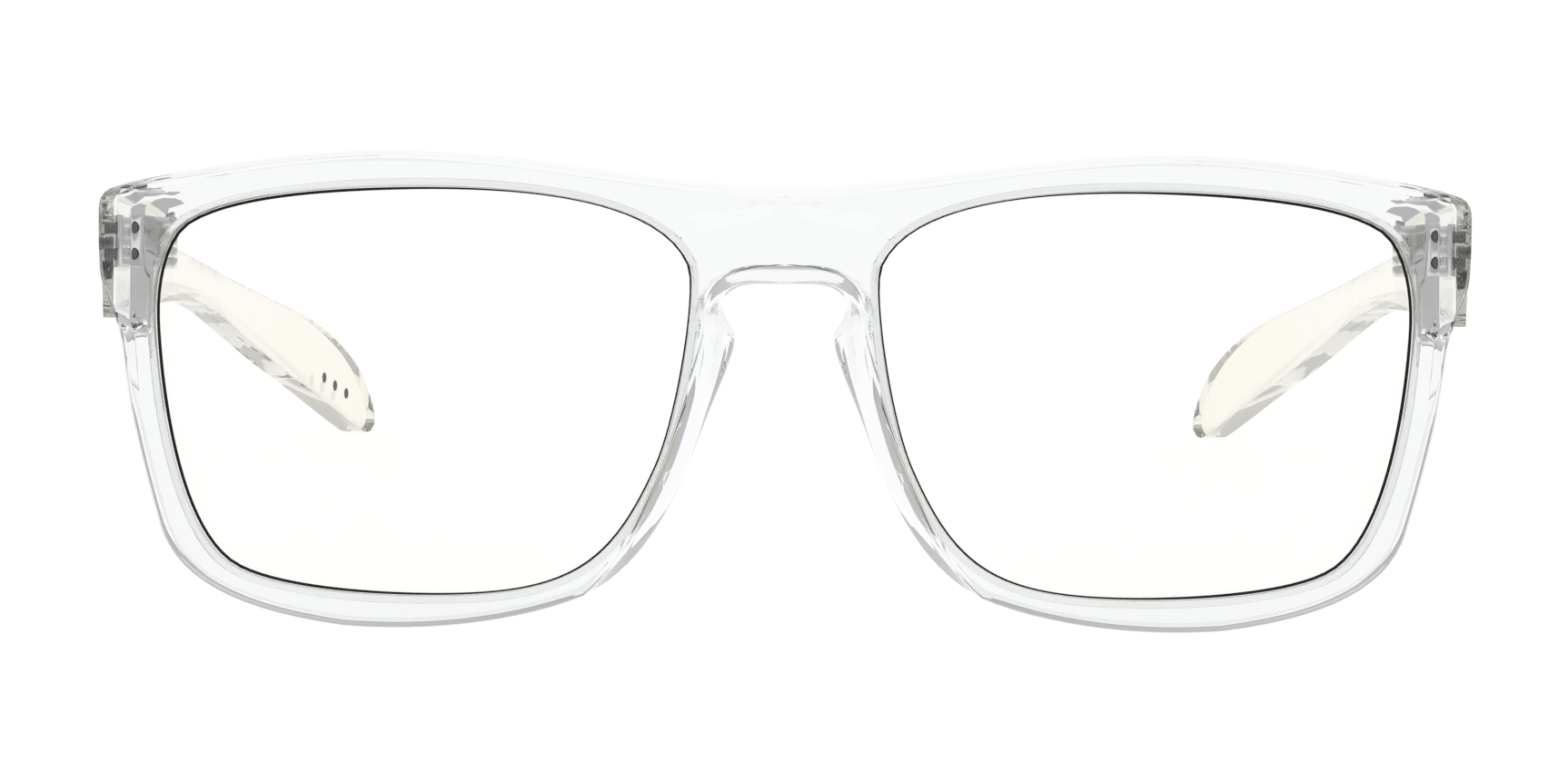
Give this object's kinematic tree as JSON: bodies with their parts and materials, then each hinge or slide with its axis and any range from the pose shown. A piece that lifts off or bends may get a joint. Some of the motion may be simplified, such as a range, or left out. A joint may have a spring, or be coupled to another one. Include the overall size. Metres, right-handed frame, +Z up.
{
  "type": "blue light glasses",
  "caption": "Clear plastic square spectacles with near-colourless flat-tint lenses, moulded nose flanks and clear temples that fold on metal pin hinges.",
  "frame": {"origin": "centre of the bounding box on the table that the rims and temple tips stand on", "axes": "+Z up; -Y is the way the lenses face; +X is the wearer's left"},
  "size_m": [0.146, 0.1453, 0.0496],
  "materials": {
    "clear_front": "polished clear moulding",
    "clear_temple": "polished clear moulding",
    "lens": "clear coated lens with a faint warm tint and a ground edge",
    "hinge_metal": "satin",
    "pin_metal": "dark ribbed",
    "screw_metal": "satin",
    "inlay": "matt dark grey"
  },
  "bodies": {
    "front": {"frame_front": "clear_front", "lens_left": "lens", "lens_right": "lens", "front_hinge_leaf_left": "hinge_metal", "front_hinge_leaf_right": "hinge_metal", "front_hinge_pins_left": "pin_metal", "front_hinge_pins_right": "pin_metal", "hinge_screw_left": "screw_metal", "hinge_screw_right": "screw_metal"},
    "left_arm": {"temple_left": "clear_temple", "temple_hinge_leaf_left": "hinge_metal", "temple_hinge_pins_left": "pin_metal"},
    "right_arm": {"temple_right": "clear_temple", "temple_hinge_leaf_right": "hinge_metal", "temple_hinge_pins_right": "pin_metal", "temple_dots_right": "inlay"}
  },
  "joints": [
    {"name": "left_temple_fold", "type": "hinge", "parent": "front", "child": "left_arm", "pos_m": [0.0662, -0.05255, 0.03864], "axis": [0, 0.1348, 0.9909], "range_deg": [0, 88]},
    {"name": "right_temple_fold", "type": "hinge", "parent": "front", "child": "right_arm", "pos_m": [-0.0662, -0.05255, 0.03864], "axis": [0, -0.1348, -0.9909], "range_deg": [0, 82]}
  ]
}
